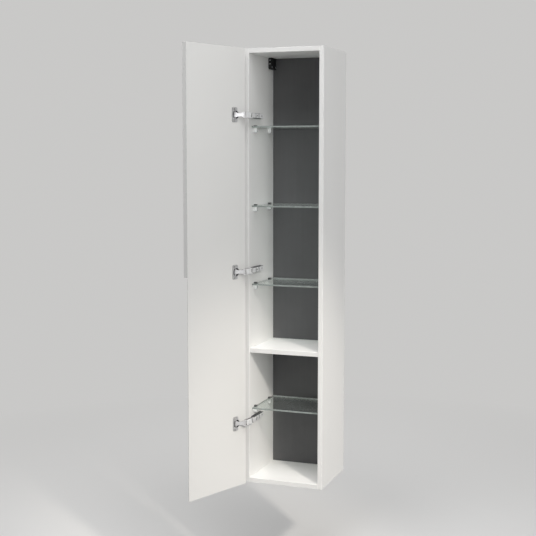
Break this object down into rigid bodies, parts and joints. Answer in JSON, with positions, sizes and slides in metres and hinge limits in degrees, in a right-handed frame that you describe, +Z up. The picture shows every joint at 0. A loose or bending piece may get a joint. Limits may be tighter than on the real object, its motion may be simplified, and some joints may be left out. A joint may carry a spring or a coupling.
{
  "type": "tall bathroom cabinet",
  "caption": "Tall, narrow wall-hung bathroom cabinet with an open hinged door, glass shelves, a fixed shelf and a grip strip on the door edge.",
  "frame": {"origin": "on the wall plane, at the middle of the cabinet bottom rear edge", "axes": "+X to the right seen from the front, +Y into the wall, +Z up"},
  "size_m": [0.4509, 0.6378, 1.76],
  "materials": {
    "white_board": "satin white lacquered board",
    "back_board": "matt dark grey board",
    "door_white": "satin white lacquered board",
    "shelf_glass": "clear float glass, polished edges",
    "support_metal": "polished",
    "support_pad_clear": "soft clear plastic",
    "beech_dowel": "raw beech",
    "bolt_steel": "zinc plated",
    "cam_zinc": "die cast",
    "rail_steel": "galvanised",
    "hanger_black": "matt black",
    "hook_steel": "zinc plated",
    "hinge_nickel": "nickel plated",
    "hinge_screw": "nickel plated",
    "hinge_pin": "ground",
    "strip_white": "satin white"
  },
  "bodies": {
    "cabinet": {"left_side_panel": "white_board", "right_side_panel": "white_board", "top_panel": "white_board", "bottom_panel": "white_board", "fixed_shelf": "white_board", "back_panel": "back_board", "dowels": "beech_dowel", "cam_bolts": "bolt_steel", "cam_housings": "cam_zinc", "support_pads": "support_pad_clear", "support_clamp_screws": "bolt_steel", "wall_rail": "rail_steel", "left_wall_hanger": "hanger_black", "right_wall_hanger": "hanger_black", "hanger_hooks": "hook_steel", "hanger_adjusting_screws": "bolt_steel", "hanger_fixing_screws": "bolt_steel", "plate_screws": "hinge_screw", "hinge_adjusting_screws": "hinge_screw", "hinge_arm_pins": "hinge_pin", "glass_shelf_1": "shelf_glass", "shelf_supports_1": "support_metal", "glass_shelf_2": "shelf_glass", "shelf_supports_2": "support_metal", "glass_shelf_3": "shelf_glass", "shelf_supports_3": "support_metal", "glass_shelf_4": "shelf_glass", "shelf_supports_4": "support_metal", "mounting_plate_1": "hinge_nickel", "hinge_arm_1": "hinge_nickel", "mounting_plate_2": "hinge_nickel", "hinge_arm_2": "hinge_nickel", "mounting_plate_3": "hinge_nickel", "hinge_arm_3": "hinge_nickel"},
    "door": {"door_panel": "door_white", "handle_strip": "strip_white", "cup_screws": "hinge_screw", "hinge_cup_pins": "hinge_pin", "hinge_cup_1": "hinge_nickel", "hinge_cup_2": "hinge_nickel", "hinge_cup_3": "hinge_nickel"},
    "outer_links": {"outer_link_1": "hinge_nickel", "outer_link_2": "hinge_nickel", "outer_link_3": "hinge_nickel", "hinge_knee_pins": "hinge_pin"},
    "inner_links": {"inner_link_1": "hinge_nickel", "inner_link_2": "hinge_nickel", "inner_link_3": "hinge_nickel"}
  },
  "joints": [
    {"name": "door_swing", "type": "hinge", "parent": "cabinet", "child": "door", "pos_m": [-0.16655, -0.323, 0.878], "axis": [0, 0, 1], "range_deg": [0, 110.5]},
    {"name": "outer_link_turn", "type": "hinge", "parent": "cabinet", "child": "outer_links", "pos_m": [-0.1345, -0.299, 0.878], "axis": [0, 0, 1], "range_deg": [0, 110.5]},
    {"name": "inner_link_turn", "type": "hinge", "parent": "door", "child": "inner_links", "pos_m": [-0.17693, -0.38216, 0.878], "axis": [0, 0, 1], "range_deg": [-110.5, 0]}
  ],
  "couplings": [
    {"joint": "outer_link_turn", "follows": "door_swing", "ratio": 1},
    {"joint": "inner_link_turn", "follows": "door_swing", "ratio": -1}
  ]
}
